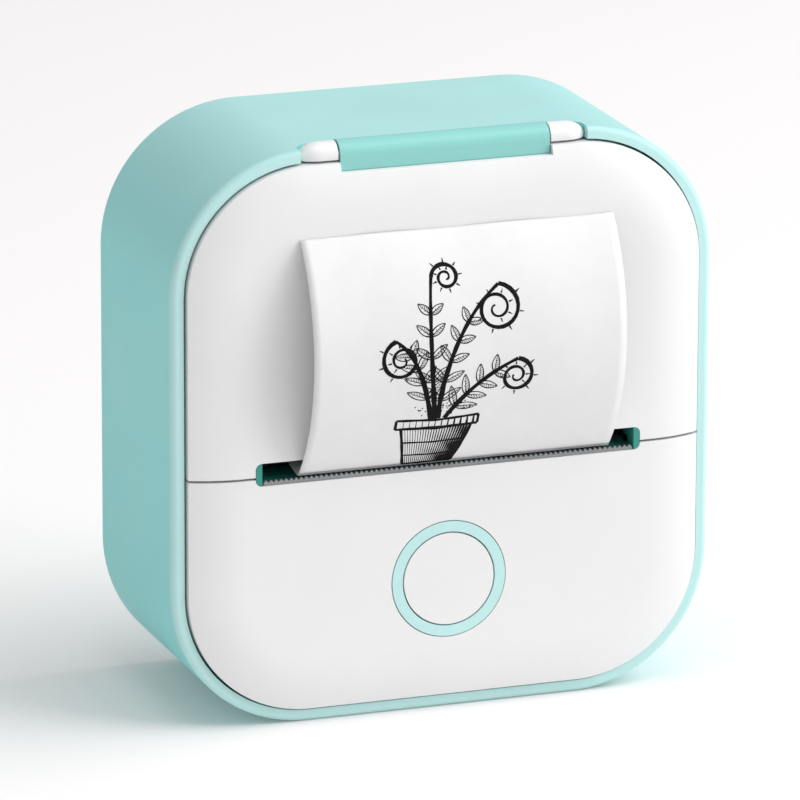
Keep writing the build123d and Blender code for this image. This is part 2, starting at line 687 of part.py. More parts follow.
with BuildPart() as print_chassis:
    with BuildSketch(side_plane(-ARM_END)):
        Polygon(head_point(WALL_OUT, -0.3), head_point(WALL_OUT, 6.0), (FLANGE_FRONT, 42.3),
                (FLANGE_FRONT, 46.0), (FLANGE_FRONT + WALL_THICK, 46.0), (FLANGE_FRONT + WALL_THICK, 41.8),
                head_point(WALL_OUT + WALL_THICK, 5.6), head_point(WALL_OUT + WALL_THICK, -0.3), align=None)
    extrude(amount=ARM_END + PLATE_X)
    for start in (-ARM_END, ARM_START):
        with BuildSketch(side_plane(start)):
            Polygon((5.0, 46.6), (12.0, 46.6), (16.0, 45.0), head_point(WALL_OUT, 6.5),
                    head_point(WALL_OUT + WALL_THICK, 6.5), head_point(WALL_OUT + WALL_THICK, -0.3),
                    (14.0, 36.3), (11.0, 35.8), (8.3, 35.4), (5.0, 38.6), align=None)
            with Locations(PLATEN):
                Circle(SADDLE_R, mode=Mode.SUBTRACT)
                Rectangle(8, 2 * SADDLE_R, rotation=idler_line, align=(Align.MAX, Align.CENTER),
                          mode=Mode.SUBTRACT)
            with Locations(HEAD_PIVOT):
                Circle(AXLE_R + RUNNING_FIT, mode=Mode.SUBTRACT)
        extrude(amount=ARM_END - ARM_START)
    with BuildSketch(side_plane(PLATE_X)):
        Polygon((11.4, 48.5), (18.5, 48.5), (21.2, 46.0), (21.2, 38.0), (22.4, 37.0), (22.4, 14.2),
                (14.0, 14.2), (6.5, 20.0), (6.5, 37.0), (9.0, 39.6), (11.4, 40.8), align=None)
        with Locations(IDLER, REDUCTION):
            Circle(AXLE_R, mode=Mode.SUBTRACT)
        with Locations(MOTOR):
            Circle(MOTOR_BOSS_R, mode=Mode.SUBTRACT)
        with Locations(*MOTOR_EARS):
            Circle(SCREW_R, mode=Mode.SUBTRACT)
    extrude(amount=PLATE_THICK)
    with BuildSketch(front_plane(FLANGE_FRONT + WALL_THICK)):
        with Locations(((CHASSIS_PLACES[2][0] + PLATE_X + PLATE_THICK - 3) / 2, 16.9)):
            Rectangle(PLATE_X + PLATE_THICK + 3 - CHASSIS_PLACES[2][0], 5.4)
    extrude(amount=WALL_THICK)
    with BuildSketch(front_plane(FLANGE_FRONT + WALL_THICK)):
        with Locations(*CHASSIS_PLACES):
            Circle(SCREW_R)
    extrude(amount=WALL_THICK, mode=Mode.SUBTRACT)
save(print_chassis, "print_chassis")
screws("chassis_screws", CHASSIS_PLACES, FLANGE_FRONT, 3.8, backwards=True)

# Print head: ceramic strip on an aluminium bar that tilts on a pivot shaft against two springs
HEAD_WIDTH = 52.0
HEAD_FACE = PLATEN_R + HEAD_GAP


def head_section(out, thick, low, high, width):
    """Section of a bar parallel to the head's face, at the left end of the bar."""
    with BuildSketch(side_plane(PAPER_X - width / 2)) as section:
        Polygon(head_point(out, low), head_point(out, high), head_point(out + thick, high),
                head_point(out + thick, low), align=None)
    return section.sketch


with BuildPart() as head_strip:
    extrude(head_section(HEAD_FACE, 1.0, -3.5, 4.5, HEAD_WIDTH), amount=HEAD_WIDTH)
save(head_strip, "head_strip")

with BuildPart() as head_chip_cover:
    extrude(head_section(HEAD_FACE - 0.5, 0.5, -3.5, -2.2, 30.0), amount=30.0)
save(head_chip_cover, "head_chip_cover")

with BuildPart() as head_heat_sink:
    extrude(head_section(HEAD_FACE + 1.0, 2.5, -4.5, 5.5, HEAD_WIDTH), amount=HEAD_WIDTH)
    with BuildSketch(side_plane(-ARM_START)):
        with Locations(HEAD_PIVOT):
            Circle(AXLE_R)
    extrude(amount=2 * ARM_START, mode=Mode.SUBTRACT)
save(head_heat_sink, "head_heat_sink")

with BuildPart() as head_pivot_shaft:
    with BuildSketch(side_plane(-ARM_END - 0.1)):
        with Locations(HEAD_PIVOT):
            Circle(AXLE_R)
    extrude(amount=2 * ARM_END + 0.2)
save(head_pivot_shaft, "head_pivot_shaft")

SPRING_START = HEAD_FACE + 3.5
SPRING_WIRE = 0.2
SPRING_R = 1.5
SPRING_TURNS = 4
SPRING_LENGTH = WALL_OUT - SPRING_START - 2 * SPRING_WIRE

with BuildPart() as head_springs:
    for x in (-16.0, 18.0):
        foot = head_point(SPRING_START + SPRING_WIRE, 3.0)
        with BuildLine():
            coil = Helix(SPRING_LENGTH / SPRING_TURNS, SPRING_LENGTH, SPRING_R,
                         center=(x, RIM_Y + foot[0], foot[1]), direction=(0, across[0], across[1]))
        with BuildSketch(Plane(origin=coil @ 0, z_dir=coil % 0)):
            Circle(SPRING_WIRE)
        sweep(path=coil, is_frenet=True)
save(head_springs, "head_springs")

# Slot floor behind the blade, and the serrated steel blade
FLOOR_HALF = SLOT_HALF - LINING - LINING_FIT
with BuildPart() as slot_floor:
    with BuildSketch(side_plane(-FLOOR_HALF)):
        Polygon((BLADE_BACK, SLOT_BOTTOM + 0.02), (BLADE_BACK, TOOTH_TIP - TOOTH_HEIGHT - 0.1),
                (-1.4, 37.7), (4.5, 37.9), (4.5, 36.6), (-0.5, 36.6), (-0.5, SLOT_BOTTOM + 0.02), align=None)
    extrude(amount=2 * FLOOR_HALF)
save(slot_floor, "slot_floor")

teeth_count = int(2 * FLOOR_HALF / TOOTH_PITCH)
blade_half = teeth_count * TOOTH_PITCH / 2
blade_points = [(-blade_half, SLOT_BOTTOM + 0.02), (-blade_half, TOOTH_TIP - TOOTH_HEIGHT)]
for tooth in range(teeth_count):
    left = -blade_half + tooth * TOOTH_PITCH
    blade_points.append((left + TOOTH_PITCH / 2, TOOTH_TIP))
    blade_points.append((left + TOOTH_PITCH, TOOTH_TIP - TOOTH_HEIGHT))
blade_points.append((blade_half, SLOT_BOTTOM + 0.02))
with BuildPart() as tear_blade:
    with BuildSketch(front_plane(BLADE_BACK)):
        Polygon(*blade_points, align=None)
    extrude(amount=BLADE_THICK)
save(tear_blade, "tear_blade")

# Button: mint ring pressed into the panel, white disc behind it, plunger and switch on the board
button_centre = Axis((0, RIM_Y, BUTTON_Z), (0, 1, 0))


def turned(points, name):
    """Piece turned about the button's axis, from points of radius and depth."""
    with BuildPart() as piece:
        with BuildSketch(side_plane(0)):
            Polygon(*[(depth, BUTTON_Z + radius) for radius, depth in points], align=None)
        revolve(axis=button_centre)
    save(piece, name)


SWITCH_FRONT = 1.0
PLUNGER_FRONT = 0.2
BUTTON_FRONT = -CROWN - 0.05
turned([(RING_INNER, BUTTON_FRONT), (RING_R, BUTTON_FRONT), (RING_R, PANEL_BACK),
        (RING_FLANGE, PANEL_BACK), (RING_FLANGE, 0.2), (8.2, 0.2), (8.2, -1.25), (RING_INNER, -1.25)],
       "button_ring")
turned([(0, BUTTON_FRONT), (BUTTON_R, BUTTON_FRONT), (BUTTON_R, -0.95), (7.7, -0.95), (7.7, -0.35),
        (1.6, -0.35), (1.6, PLUNGER_FRONT), (0, PLUNGER_FRONT)], "button_cap")
turned([(0, PLUNGER_FRONT), (1.7, PLUNGER_FRONT), (1.7, 1.4), (0, 1.4)], "switch_plunger")

with BuildPart() as switch_body:
    with BuildSketch(front_plane(BOARD_FRONT)):
        with Locations((0, BUTTON_Z)):
            Rectangle(6.0, 6.0)
    extrude(amount=BOARD_FRONT - SWITCH_FRONT)
    with BuildSketch(front_plane(2.2)):
        with Locations((0, BUTTON_Z)):
            Circle(1.85)
    extrude(amount=2.2 - SWITCH_FRONT, mode=Mode.SUBTRACT)
save(switch_body, "switch_body")

# Main board on the panel's posts, its parts, the charging socket and the light pipe
BOARD_LOW = 13.0
BOARD_HIGH = 33.0
BOARD_BACK = BOARD_FRONT + BOARD_THICK
with BuildPart() as main_board:
    with BuildSketch(front_plane(BOARD_BACK)):
        with Locations((0, BOARD_LOW)):
            Rectangle(58.0, BOARD_HIGH - BOARD_LOW, align=(Align.CENTER, Align.MIN))
        with Locations((28.0, 15.5)):
            Rectangle(9.0, 15.0, align=(Align.MIN, Align.MIN))
        with Locations(*POST_PLACES):
            Circle(SCREW_R, mode=Mode.SUBTRACT)
    extrude(amount=BOARD_THICK)
save(main_board, "main_board")
screws("board_screws", POST_PLACES, BOARD_BACK, 3.6, backwards=False)


def on_board(name, boxes):
    """Rectangular parts on the board's back, each with centre x, z, width, height, thickness."""
    with BuildPart() as group:
        for x, z, width, height, thick in boxes:
            with BuildSketch(front_plane(BOARD_BACK + thick)):
                with Locations((x, z)):
                    Rectangle(width, height)
            extrude(amount=thick)
    save(group, name)


on_board("board_chips", [(-5.0, 21.0, 7.0, 7.0, 0.9), (5.5, 18.5, 4.0, 5.0, 0.8),
                         (14.0, 17.5, 5.0, 4.0, 1.0), (6.0, 26.0, 3.2, 2.5, 0.7),
                         (36.0, 29.0, 1.6, 1.4, 1.4)])
on_board("radio_module", [(-17.0, 22.0, 11.0, 13.0, 1.8)])
on_board("board_connectors", [(0.0, 30.3, 18.0, 3.6, 1.6), (-13.0, 31.2, 6.0, 2.6, 3.2),
                              (19.0, 16.0, 5.0, 3.6, 3.2)])

with BuildPart() as usb_shell:
    with BuildSketch(side_plane(33.4)):
        with Locations((USB_DEPTH, USB_Z)):
            SlotOverall(8.94, 3.24, rotation=90)
    extrude(amount=7.3)
    with BuildSketch(side_plane(34.0)):
        with Locations((USB_DEPTH, USB_Z)):
            SlotOverall(8.34, 2.64, rotation=90)
    extrude(amount=7.3, mode=Mode.SUBTRACT)
save(usb_shell, "usb_shell")

with BuildPart() as usb_tongue:
    with BuildSketch(side_plane(34.0)):
        with Locations((USB_DEPTH, USB_Z)):
            Rectangle(0.7, 6.7)
    extrude(amount=5.2)
save(usb_tongue, "usb_tongue")

with BuildPart() as light_pipe:
    with BuildSketch(side_plane(WIDTH / 2 - WALL)):
        with Locations(LIGHT):
            Circle(0.88)
    extrude(amount=WALL)
    with BuildSketch(side_plane(37.3)):
        with Locations(LIGHT):
            Circle(1.3)
    extrude(amount=WIDTH / 2 - WALL - 37.3)
save(light_pipe, "light_pipe")

# Tray: a plate across the housing with the paper bin in its upper half
LEADS_X = -32.0
LEADS_Z = 31.2
NOSE_BEND = 1.5
line_start = head_point(PLATEN_R + PAPER, 0)
toward = (line_start[0] + NOSE_BEND * across[0] - ROLL[0], line_start[1] + NOSE_BEND * across[1] - ROLL[1])
reach = ROLL_R + 0.15 + PAPER / 2 + NOSE_BEND
middle_term = toward[0] * along[0] + toward[1] * along[1]
nose_up = -middle_term - math.sqrt(middle_term**2 - toward[0]**2 - toward[1]**2 + reach**2)
NOSE = head_point(PLATEN_R + PAPER + NOSE_BEND, nose_up)
NOSE_R = NOSE_BEND - PAPER / 2 - 0.15
BIN_LEFT = PAPER_X - BIN_WIDTH / 2
nose_angle = math.degrees(math.atan2(ROLL[1] - NOSE[1], ROLL[0] - NOSE[0]))

with BuildPart() as paper_tray:
    with BuildSketch(front_plane(TRAY_FRONT + TRAY_PLATE)):
        with Locations((0, MID_Z)):
            RectangleRounded(WIDTH - 2 * WALL - 0.6, HEIGHT - 2 * WALL - 0.6, CORNER - WALL - 0.3)
        with Locations((29.3, 17.5)):
            Rectangle(12, 36.0, align=(Align.MIN, Align.MIN), mode=Mode.SUBTRACT)
        with Locations((LEADS_X, LEADS_Z)):
            Rectangle(3, 5, mode=Mode.SUBTRACT)
    extrude(amount=TRAY_PLATE)
    with BuildSketch(side_plane(BIN_LEFT - BIN_WALL)):
        with Locations(BIN_CENTRE):
            Circle(BIN_R + BIN_WALL)
        with Locations((BIN_FRONT, BIN_CENTRE[1])):
            Rectangle(BIN_CENTRE[0] + BIN_R + BIN_WALL - BIN_FRONT, BIN_TOP - BIN_CENTRE[1],
                      align=(Align.MIN, Align.MIN))
        with Locations((BIN_FRONT, 40.0)):
            Rectangle(30.0, 45.0, align=(Align.MIN, Align.MIN), mode=Mode.INTERSECT)
    extrude(amount=BIN_WIDTH + 2 * BIN_WALL)
    with BuildSketch(side_plane(BIN_LEFT)):
        with Locations(BIN_CENTRE):
            Circle(BIN_R)
        with Locations((0, BIN_CENTRE[1])):
            Rectangle(BIN_CENTRE[0] + BIN_R, BIN_TOP + 1 - BIN_CENTRE[1], align=(Align.MIN, Align.MIN))
        with Locations((0, 45.0)):
            Rectangle(NOSE[0], 20.0, align=(Align.MIN, Align.MIN))
    extrude(amount=BIN_WIDTH, mode=Mode.SUBTRACT)
    with BuildSketch(side_plane(BIN_LEFT)):
        with Locations(NOSE):
            Circle(NOSE_R)
    extrude(amount=BIN_WIDTH)
    with BuildSketch(front_plane(TRAY_FRONT)):
        with Locations(*CHASSIS_PLACES):
            Circle(2.2)
    extrude(amount=TRAY_FRONT - FLANGE_FRONT - WALL_THICK)
    with BuildSketch(front_plane(TRAY_FRONT + TRAY_PLATE)):
        with Locations(*BOSS_PLACES):
            Circle(SCREW_R)
        with Locations(*CHASSIS_PLACES):
            Circle(SCREW_R)
    extrude(amount=4.0, mode=Mode.SUBTRACT)
save(paper_tray, "paper_tray")
screws("tray_screws", BOSS_PLACES, TRAY_FRONT, 4.0, backwards=True)

with BuildPart() as battery:
    with BuildSketch(front_plane(31.8)):
        with Locations((-6.5, 26.0)):
            RectangleRounded(44.0, 35.0, 1.5)
    extrude(amount=7.0)
    fillet(battery.edges().group_by(Axis.Y)[0] + battery.edges().group_by(Axis.Y)[-1], 1.0)
save(battery, "battery")

with BuildPart() as battery_pad:
    with BuildSketch(front_plane(24.8)):
        with Locations((-6.5, 26.0)):
            Rectangle(36.0, 26.0)
    extrude(amount=0.7)
save(battery_pad, "battery_pad")

# Paper: the roll on its core, the web inside, and the printed strip outside the cover
with BuildPart() as paper_roll:
    with BuildSketch(side_plane(PAPER_X - PAPER_WIDTH / 2)):
        with Locations(ROLL):
            Circle(ROLL_R)
            Circle(CORE_R, mode=Mode.SUBTRACT)
    extrude(amount=PAPER_WIDTH)
save(paper_roll, "paper_roll")

with BuildPart() as paper_core:
    with BuildSketch(side_plane(PAPER_X - PAPER_WIDTH / 2)):
        with Locations(ROLL):
            Circle(CORE_R)
            Circle(CORE_R - CORE_WALL, mode=Mode.SUBTRACT)
    extrude(amount=PAPER_WIDTH)
save(paper_core, "paper_core")

chord = (STRIP_END[0] - STRIP_START[0], STRIP_END[1] - STRIP_START[1])
chord_length = math.hypot(*chord)
chord_angle = math.degrees(math.atan2(chord[1], chord[0]))
bow_angle = 2 * math.degrees(math.atan(2 * STRIP_BOW / chord_length))
strip_heading = chord_angle + bow_angle
web_radius = PLATEN_R + PAPER
leave = around(PLATEN, web_radius, EXIT_ANGLE)
run_heading = EXIT_ANGLE - 90
web_end = around(STRIP_START, 0.12, strip_heading + 180)
gap = (web_end[0] - leave[0], web_end[1] - leave[1])
run = around((0, 0), 1, run_heading)
rise = around((0, 0), 1, strip_heading)
run_length = (gap[0] * rise[1] - gap[1] * rise[0]) / (run[0] * rise[1] - run[1] * rise[0])
corner = (leave[0] + run_length * run[0], leave[1] + run_length * run[1])
roll_leave = nose_angle - 180

with BuildPart() as paper_web:
    with BuildSketch(side_plane(PAPER_X - PAPER_WIDTH / 2)):
        with BuildLine():
            CenterArc(ROLL, ROLL_R + 0.15 + PAPER / 2, roll_leave + 18, -18)
            over_nose = CenterArc(NOSE, NOSE_BEND, nose_angle, NIP_ANGLE + 180 - nose_angle)
            Line(over_nose @ 1, line_start)
            CenterArc(PLATEN, web_radius, NIP_ANGLE, EXIT_ANGLE - NIP_ANGLE)
            FilletPolyline(leave, corner, web_end, radius=WEB_BEND)
        trace(line_width=PAPER)
    extrude(amount=PAPER_WIDTH)
save(paper_web, "paper_web")

with BuildPart() as printed_strip:
    with BuildSketch(side_plane(PAPER_X - PAPER_WIDTH / 2)):
        with BuildLine():
            bow = (
                (STRIP_START[0] + STRIP_END[0]) / 2 - STRIP_BOW * chord[1] / chord_length,
                (STRIP_START[1] + STRIP_END[1]) / 2 + STRIP_BOW * chord[0] / chord_length,
            )
            ThreePointArc(STRIP_START, bow, STRIP_END)
        trace(line_width=PAPER)
    extrude(amount=PAPER_WIDTH)
save(printed_strip, "printed_strip")

with BuildPart() as paper_sensor:
    with BuildSketch(side_plane(-10.0)):
        Polygon(head_point(8.6, 4.0), head_point(8.6, 5.4), head_point(11.9, 5.4), head_point(11.9, 4.0),
                align=None)
    extrude(amount=4.0)
save(paper_sensor, "paper_sensor")


def leads(name, route, shift, bend):
    """Two round wires side by side along one route of points (x, depth, z)."""
    with BuildPart() as wires:
        for sign in (-1, 1):
            stops = [(x + sign * shift[0], RIM_Y + depth + sign * shift[1], z + sign * shift[2])
                     for x, depth, z in route]
            with BuildLine():
                wire = FilletPolyline(*stops, radius=bend)
            with BuildSketch(Plane(origin=wire @ 0, z_dir=wire % 0)):
                Circle(0.4)
            sweep(path=wire)
    save(wires, name)


battery_left = -28.5
leads("battery_leads", [(battery_left, 28.3, LEADS_Z), (LEADS_X, 28.3, LEADS_Z), (LEADS_X, 7.5, LEADS_Z),
                        (-16.0, 7.5, LEADS_Z)], (0, 0, 0.5), 1.5)
motor_end = PLATE_X - 0.6 - MOTOR_LENGTH
leads("motor_leads", [(motor_end, MOTOR[0], MOTOR[1]), (motor_end - 3, MOTOR[0], MOTOR[1]),
                      (motor_end - 3, MOTOR[0], 16.0), (motor_end - 3, 7.6, 16.0), (16.5, 7.6, 16.0)],
      (0, 0.45, 0.45), 1.2)

with BuildPart() as head_ribbon:
    with BuildSketch(side_plane(-8.0)):
        with BuildLine():
            FilletPolyline(head_point(HEAD_FACE + 0.5, -3.55), head_point(HEAD_FACE + 0.5, -5.0),
                           (6.2, 34.6), (6.2, 32.15), radius=1.0)
        trace(line_width=0.16)
    extrude(amount=16.0)
save(head_ribbon, "head_ribbon")

print("rim plane at Y", round(RIM_Y, 3))
for name, place in (("hinge", (HINGE_DEPTH, HINGE_Z)), ("platen", PLATEN), ("idler", IDLER),
                    ("reduction", REDUCTION), ("motor", MOTOR), ("head pivot", HEAD_PIVOT),
                    ("roll", ROLL), ("nose", NOSE), ("corner", corner)):
    print(name, "Y", round(RIM_Y + place[0], 3), "Z", round(place[1], 3))
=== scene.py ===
import json
import math
import random

import bpy
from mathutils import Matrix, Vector


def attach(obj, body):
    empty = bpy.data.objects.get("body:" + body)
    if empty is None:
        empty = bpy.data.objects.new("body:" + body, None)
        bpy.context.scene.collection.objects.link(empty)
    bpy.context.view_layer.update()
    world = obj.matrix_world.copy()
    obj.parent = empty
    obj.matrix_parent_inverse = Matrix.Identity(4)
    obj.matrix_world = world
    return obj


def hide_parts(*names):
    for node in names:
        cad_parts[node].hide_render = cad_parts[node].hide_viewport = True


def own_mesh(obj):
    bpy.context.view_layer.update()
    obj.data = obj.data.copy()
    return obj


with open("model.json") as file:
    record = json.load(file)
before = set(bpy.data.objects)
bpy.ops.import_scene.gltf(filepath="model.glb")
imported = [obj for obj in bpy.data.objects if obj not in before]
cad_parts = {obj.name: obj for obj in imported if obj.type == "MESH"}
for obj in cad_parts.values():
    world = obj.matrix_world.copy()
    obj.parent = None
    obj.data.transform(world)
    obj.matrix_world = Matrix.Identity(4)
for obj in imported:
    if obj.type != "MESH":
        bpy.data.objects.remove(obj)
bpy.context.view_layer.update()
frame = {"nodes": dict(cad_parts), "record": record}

NODES = frame["nodes"]
MM = 0.001
RIM_Y = -12.7


def row(x, depth, z):
    """Point in the row frame, in metres, from millimetres with depth behind the rim plane."""
    return Vector((x * MM, (RIM_Y + depth) * MM, z * MM))


# Materials

def new_material(name):
    """Material with a Principled shader, its node tree and the shader."""
    material = bpy.data.materials.new(name)
    material.use_nodes = True
    tree = material.node_tree
    return material, tree, tree.nodes["Principled BSDF"]


def put(tree, kind, **inputs):
    """Node of a kind with its inputs set by name."""
    node = tree.nodes.new(kind)
    for key, value in inputs.items():
        node.inputs[key.replace("_", " ")].default_value = value
    return node


def coordinates(tree, stretch=(1, 1, 1)):
    """Object coordinates in metres, stretched."""
    place = tree.nodes.new("ShaderNodeTexCoord")
    mapping = tree.nodes.new("ShaderNodeMapping")
    mapping.inputs["Scale"].default_value = stretch
    tree.links.new(place.outputs["Object"], mapping.inputs["Vector"])
    return mapping.outputs["Vector"]


def noise(tree, vector, scale, detail=3.0, roughness=0.55):
    """Noise over a vector."""
    node = put(tree, "ShaderNodeTexNoise", Scale=scale, Detail=detail, Roughness=roughness)
    tree.links.new(vector, node.inputs["Vector"])
    return node.outputs["Fac"]


def ramp(tree, factor, stops):
    """Colour ramp through stops of position and colour."""
    node = tree.nodes.new("ShaderNodeValToRGB")
    elements = node.color_ramp.elements
    while len(elements) < len(stops):
        elements.new(0.5)
    for element, (position, colour) in zip(elements, stops):
        element.position = position
        element.color = (*colour, 1)
    tree.links.new(factor, node.inputs["Fac"])
    return node.outputs["Color"]


def rescale(tree, value, from_low, from_high, low, high):
    """Value carried from one range to another."""
    node = put(tree, "ShaderNodeMapRange", From_Min=from_low, From_Max=from_high, To_Min=low, To_Max=high)
    tree.links.new(value, node.inputs["Value"])
    return node.outputs["Result"]


def spread(tree, factor, low, high):
    """Value from low to high as the noise goes through its middle range."""
    return rescale(tree, factor, 0.3, 0.7, low, high)


def relief(tree, shader, height, strength, distance, edge):
    """Bump from a height over softened edges."""
    bevel = tree.nodes.new("ShaderNodeBevel")
    bevel.samples = 4
    bevel.inputs["Radius"].default_value = edge
    bump = put(tree, "ShaderNodeBump", Strength=strength, Distance=distance)
    tree.links.new(bevel.outputs["Normal"], bump.inputs["Normal"])
    tree.links.new(height, bump.inputs["Height"])
    tree.links.new(bump.outputs["Normal"], shader.inputs["Normal"])


def solid_finish(name, dark, light, rough, metal=0.0, mottling=60.0, grain=4000.0, stretch=(1, 1, 1),
                 strength=0.12, edge=0.00012, coat=0.0, shine=0.5):
    """Moulded, painted or machined surface: mottled colour, handled patches and a fine grain."""
    material, tree, shader = new_material(name)
    vector = coordinates(tree, stretch)
    broad = noise(tree, vector, mottling)
    fine = noise(tree, vector, grain, 2.0)
    tree.links.new(ramp(tree, broad, [(0.3, dark), (0.7, light)]), shader.inputs["Base Color"])
    tree.links.new(spread(tree, broad, rough[0], rough[1]), shader.inputs["Roughness"])
    relief(tree, shader, fine, strength, 0.00005, edge)
    shader.inputs["Metallic"].default_value = metal
    shader.inputs["Coat Weight"].default_value = coat
    shader.inputs["Specular IOR Level"].default_value = shine
    shader.inputs["Coat Roughness"].default_value = 0.25
    return material


def ringed_finish(name, dark, light, rough, axis_depth, axis_z, pitch):
    """Wound or turned piece with fine rings round an axis along X."""
    material, tree, shader = new_material(name)
    place = tree.nodes.new("ShaderNodeTexCoord")
    mapping = tree.nodes.new("ShaderNodeMapping")
    mapping.inputs["Location"].default_value = (0, -(RIM_Y + axis_depth) * MM, -axis_z * MM)
    mapping.inputs["Scale"].default_value = (0, 1, 1)
    tree.links.new(place.outputs["Object"], mapping.inputs["Vector"])
    wave = put(tree, "ShaderNodeTexWave", Scale=1 / pitch / 20, Distortion=0.6, Detail=1.0)
    wave.wave_type = "RINGS"
    wave.rings_direction = "SPHERICAL"
    tree.links.new(mapping.outputs["Vector"], wave.inputs["Vector"])
    fine = noise(tree, coordinates(tree, (0.2, 1, 1)), 2500.0)
    tree.links.new(ramp(tree, wave.outputs["Fac"], [(0.1, dark), (0.8, light)]), shader.inputs["Base Color"])
    tree.links.new(spread(tree, fine, rough[0], rough[1]), shader.inputs["Roughness"])
    relief(tree, shader, wave.outputs["Fac"], 0.25, 0.00003, 0.00008)
    return material


def board_finish(name):
    """Solder mask with faint copper tracks under it."""
    material, tree, shader = new_material(name)
    vector = coordinates(tree)
    tracks = put(tree, "ShaderNodeTexBrick", Scale=420.0)
    tracks.inputs["Mortar Size"].default_value = 0.06
    tracks.inputs["Color1"].default_value = (0.012, 0.11, 0.055, 1)
    tracks.inputs["Color2"].default_value = (0.015, 0.14, 0.07, 1)
    tracks.inputs["Mortar"].default_value = (0.04, 0.25, 0.12, 1)
    turned = tree.nodes.new("ShaderNodeMapping")
    turned.inputs["Rotation"].default_value = (math.pi / 2, 0, 0)
    tree.links.new(vector, turned.inputs["Vector"])
    tree.links.new(turned.outputs["Vector"], tracks.inputs["Vector"])
    fine = noise(tree, vector, 900.0)
    tree.links.new(tracks.outputs["Color"], shader.inputs["Base Color"])
    tree.links.new(spread(tree, fine, 0.28, 0.45), shader.inputs["Roughness"])
    relief(tree, shader, tracks.outputs["Fac"], 0.3, 0.00003, 0.00005)
    return material


def wire_finish(name):
    """Extruded lead cover, one lead red and the other black."""
    material, tree, shader = new_material(name)
    island = tree.nodes.new("ShaderNodeNewGeometry")
    colour = ramp(tree, island.outputs["Random Per Island"],
                  [(0.0, (0.42, 0.012, 0.01)), (0.49, (0.45, 0.02, 0.015)), (0.51, (0.02, 0.02, 0.022)),
                   (1.0, (0.015, 0.015, 0.016))])
    fine = noise(tree, coordinates(tree), 1800.0)
    tree.links.new(colour, shader.inputs["Base Color"])
    tree.links.new(spread(tree, fine, 0.4, 0.6), shader.inputs["Roughness"])
    relief(tree, shader, fine, 0.1, 0.00003, 0.00003)
    return material


LONG = (0.06, 1, 1)
ROLL = (17.0, 61.15)
FINISHES = {
    "mint_plastic": solid_finish("mint_plastic", (0.40, 0.715, 0.70), (0.415, 0.73, 0.715), (0.36, 0.44),
                                 coat=0.1),
    "mint_pale": solid_finish("mint_pale", (0.50, 0.79, 0.77), (0.52, 0.805, 0.785), (0.4, 0.48)),
    "mint_deep": solid_finish("mint_deep", (0.03, 0.23, 0.19), (0.045, 0.27, 0.225), (0.5, 0.6)),
    "white_plastic": solid_finish("white_plastic", (0.80, 0.805, 0.81), (0.82, 0.823, 0.826), (0.36, 0.44),
                                  coat=0.15),
    "grey_plastic": solid_finish("grey_plastic", (0.12, 0.125, 0.13), (0.16, 0.165, 0.17), (0.5, 0.62),
                                 strength=0.25),
    "cream_plastic": solid_finish("cream_plastic", (0.68, 0.65, 0.56), (0.74, 0.71, 0.62), (0.38, 0.5)),
    "clear_plastic": solid_finish("clear_plastic", (0.70, 0.74, 0.74), (0.78, 0.81, 0.81), (0.3, 0.4)),
    "black_plastic": solid_finish("black_plastic", (0.012, 0.012, 0.013), (0.022, 0.022, 0.024),
                                  (0.4, 0.55)),
    "steel": solid_finish("steel", (0.50, 0.51, 0.52), (0.62, 0.63, 0.64), (0.24, 0.38), 1.0, 900.0,
                          stretch=LONG, strength=0.2, edge=0.00006),
    "blade_steel": solid_finish("blade_steel", (0.22, 0.225, 0.23), (0.30, 0.305, 0.31), (0.35, 0.5), 0.6,
                                1200.0, stretch=LONG, strength=0.2, edge=0.00004),
    "aluminium_bar": solid_finish("aluminium_bar", (0.66, 0.67, 0.68), (0.76, 0.77, 0.78), (0.28, 0.42), 1.0,
                                  700.0, stretch=LONG, strength=0.3, edge=0.0001),
    "ceramic": solid_finish("ceramic", (0.62, 0.60, 0.52), (0.70, 0.68, 0.60), (0.12, 0.22), coat=0.4),
    "platen_rubber": solid_finish("platen_rubber", (0.014, 0.014, 0.015), (0.028, 0.028, 0.03), (0.6, 0.8),
                                  mottling=400.0, strength=0.4),
    "foam": solid_finish("foam", (0.03, 0.03, 0.032), (0.07, 0.07, 0.072), (0.85, 0.95), mottling=1500.0,
                         strength=0.8),
    "brass_pinion": solid_finish("brass_pinion", (0.60, 0.42, 0.16), (0.72, 0.54, 0.26), (0.22, 0.36), 1.0,
                                 900.0, edge=0.00005),
    "board_green": board_finish("board_green"),
    "paper": solid_finish("paper", (0.765, 0.767, 0.77), (0.79, 0.79, 0.79), (0.62, 0.75), mottling=350.0,
                          grain=6000.0, strength=0.1, edge=0.00002),
    "paper_roll": ringed_finish("paper_roll", (0.72, 0.72, 0.71), (0.88, 0.88, 0.87), (0.6, 0.75), *ROLL,
                                0.0004),
    "card": ringed_finish("card", (0.30, 0.20, 0.11), (0.42, 0.29, 0.17), (0.7, 0.85), *ROLL, 0.0003),
    "silver_film": solid_finish("silver_film", (0.55, 0.56, 0.57), (0.68, 0.69, 0.70), (0.3, 0.48), 0.5,
                                250.0, strength=0.3),
    "lead_cover": wire_finish("lead_cover"),
    "amber_film": solid_finish("amber_film", (0.45, 0.20, 0.03), (0.55, 0.26, 0.05), (0.25, 0.4),
                               mottling=600.0),
    "ink": solid_finish("ink", (0.003, 0.003, 0.003), (0.01, 0.01, 0.01), (0.6, 0.8), mottling=1200.0,
                        shine=0.1),
}


